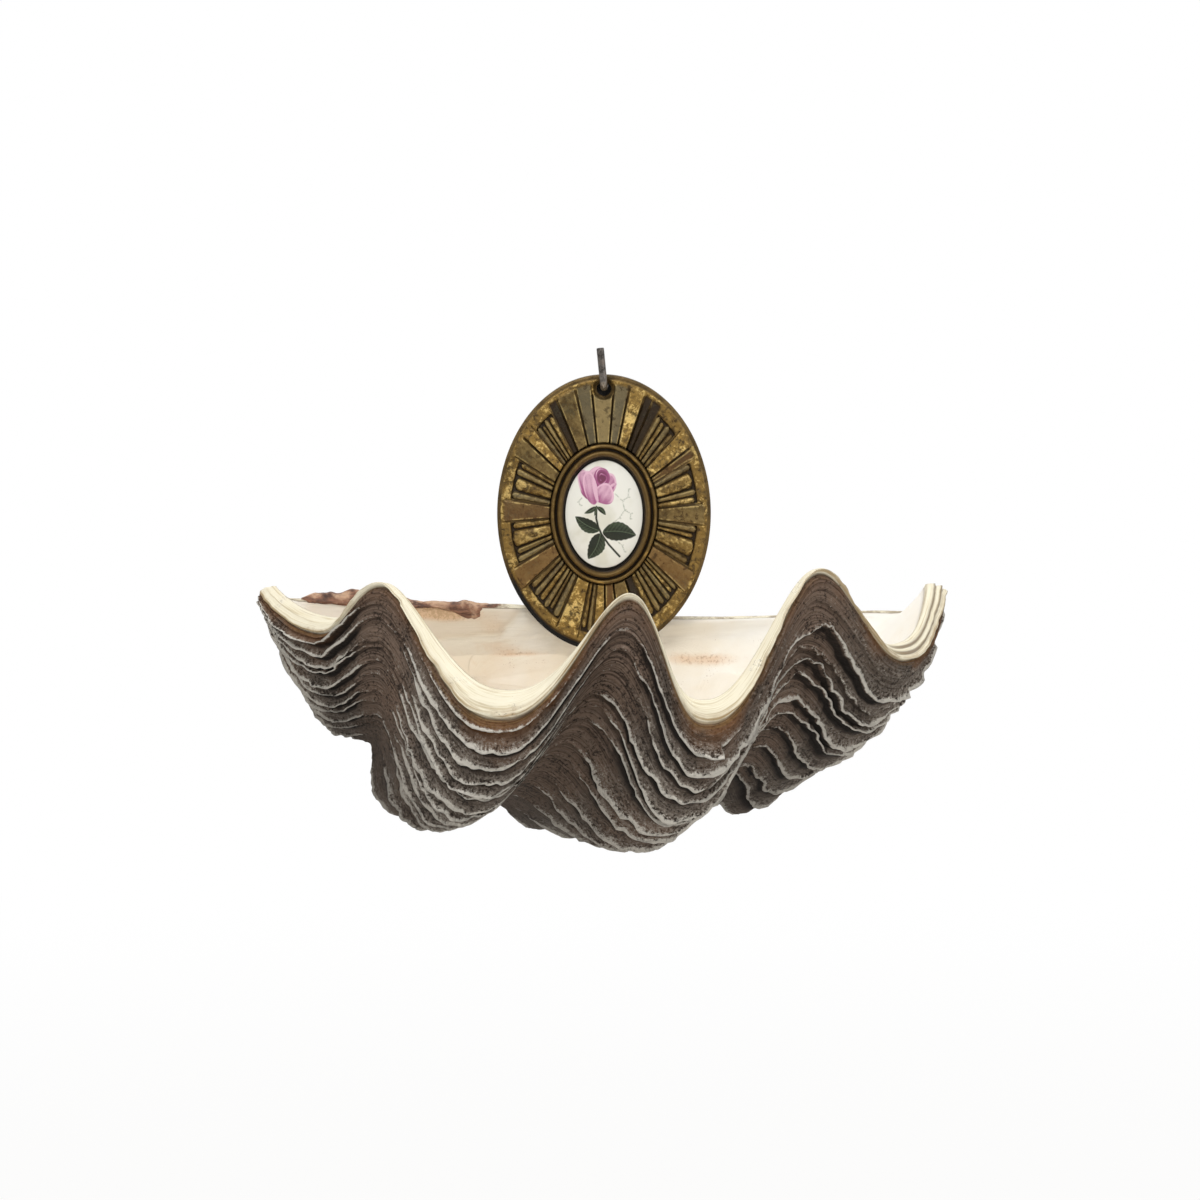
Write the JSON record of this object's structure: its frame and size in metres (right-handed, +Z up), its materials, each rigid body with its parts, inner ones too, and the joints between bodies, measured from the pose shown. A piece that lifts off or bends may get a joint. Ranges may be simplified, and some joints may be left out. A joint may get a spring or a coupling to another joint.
{
  "type": "holy water font",
  "caption": "Wall holy water font: a clam shell basin bolted to an oval brass sunburst medallion with a porcelain cabochon, swinging on a wire wall hook.",
  "frame": {"origin": "where the axis of the hook's level shank meets the wall plane", "axes": "+X to the right for someone facing the wall, +Y into the wall, +Z up"},
  "size_m": [0.201, 0.1401, 0.1434],
  "materials": {
    "shell": "rough weathered shell outside, smooth cream inside",
    "ligament": "dried and brittle, dark brown",
    "cast_brass": "cast, aged, dark in the grooves",
    "bezel_brass": "dark patina, smooth mouldings",
    "porcelain": "glossy glaze over enamel painting",
    "card": "matte",
    "sheet_brass": "dull rolled sheet",
    "screw_steel": "dull",
    "bolt_brass": "dull turned brass",
    "washer_leather": "matte",
    "hook_iron": "bare drawn iron wire, worn bright at the bend"
  },
  "bodies": {
    "hook": {"wall_hook": "hook_iron"},
    "font": {"shell_basin": "shell", "hinge_ligament": "ligament", "sunburst_plate": "cast_brass", "bezel_ring": "bezel_brass", "cabochon": "porcelain", "packing_card": "card", "back_plate": "sheet_brass", "back_screw_1": "screw_steel", "back_screw_2": "screw_steel", "back_screw_3": "screw_steel", "back_screw_4": "screw_steel", "fixing_bolt": "bolt_brass", "spacer_washer": "sheet_brass", "leather_washer": "washer_leather", "flat_washer": "screw_steel", "fixing_nut": "screw_steel"}
  },
  "joints": [
    {"name": "hook_swing", "type": "hinge", "parent": "hook", "child": "font", "pos_m": [0, 0, 0], "axis": [0, 1, 0], "range_deg": [-25, 25]}
  ]
}
